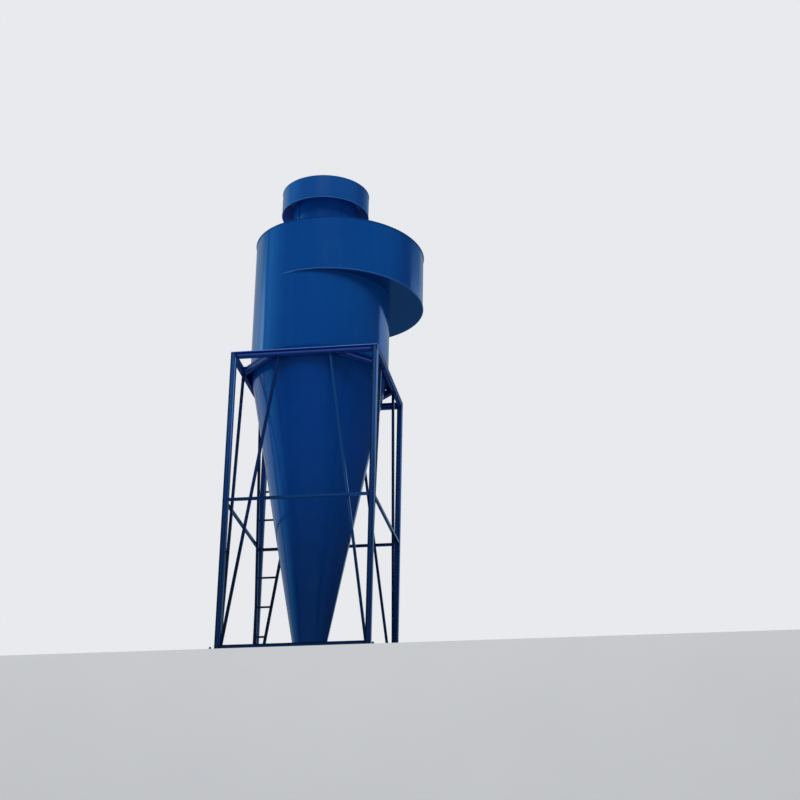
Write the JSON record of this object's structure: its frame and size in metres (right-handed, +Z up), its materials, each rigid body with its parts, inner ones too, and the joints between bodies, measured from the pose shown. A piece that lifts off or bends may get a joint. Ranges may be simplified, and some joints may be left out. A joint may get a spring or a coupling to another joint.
{
  "type": "cyclone separator",
  "caption": "Tall cone-bottomed cyclone separator with a scroll inlet and a rain cap, standing in a square braced frame.",
  "frame": {"origin": "on the ground under the body's axis, in the middle of the four anchor holes", "axes": "+Z up along the body's axis, -Y to the stand's front, +X to the side on which the scroll swells"},
  "size_m": [1.8283, 1.7778, 5.079],
  "materials": {
    "body_enamel": "gloss",
    "stand_enamel": "gloss"
  },
  "bodies": {
    "root": {"foot_plates": "stand_enamel", "base_beam_front": "stand_enamel", "base_beam_rear": "stand_enamel", "base_beam_left": "stand_enamel", "base_beam_right": "stand_enamel", "leg_front_left": "stand_enamel", "leg_front_right": "stand_enamel", "leg_rear_left": "stand_enamel", "leg_rear_right": "stand_enamel", "mid_rail_front": "stand_enamel", "mid_rail_rear": "stand_enamel", "mid_rail_left": "stand_enamel", "mid_rail_right": "stand_enamel", "braces_front": "stand_enamel", "braces_rear": "stand_enamel", "braces_left": "stand_enamel", "braces_right": "stand_enamel", "top_beam_front": "stand_enamel", "top_beam_rear": "stand_enamel", "top_beam_left": "stand_enamel", "top_beam_right": "stand_enamel", "corner_beam_front_left": "stand_enamel", "corner_beam_front_right": "stand_enamel", "corner_beam_rear_left": "stand_enamel", "corner_beam_rear_right": "stand_enamel", "ladder_rungs": "stand_enamel", "seat_plate_front": "stand_enamel", "seat_plate_rear": "stand_enamel", "seat_plate_left": "stand_enamel", "seat_plate_right": "stand_enamel", "dust_spout": "body_enamel", "cone": "body_enamel", "barrel": "body_enamel", "scroll_wall": "body_enamel", "scroll_floor": "body_enamel", "roof_plate": "body_enamel", "inlet_duct": "body_enamel", "inlet_flange": "body_enamel", "vortex_finder": "body_enamel", "finder_collar": "body_enamel", "cap_straps": "body_enamel", "cap_skirt": "body_enamel", "cap_top": "body_enamel"}
  },
  "joints": []
}
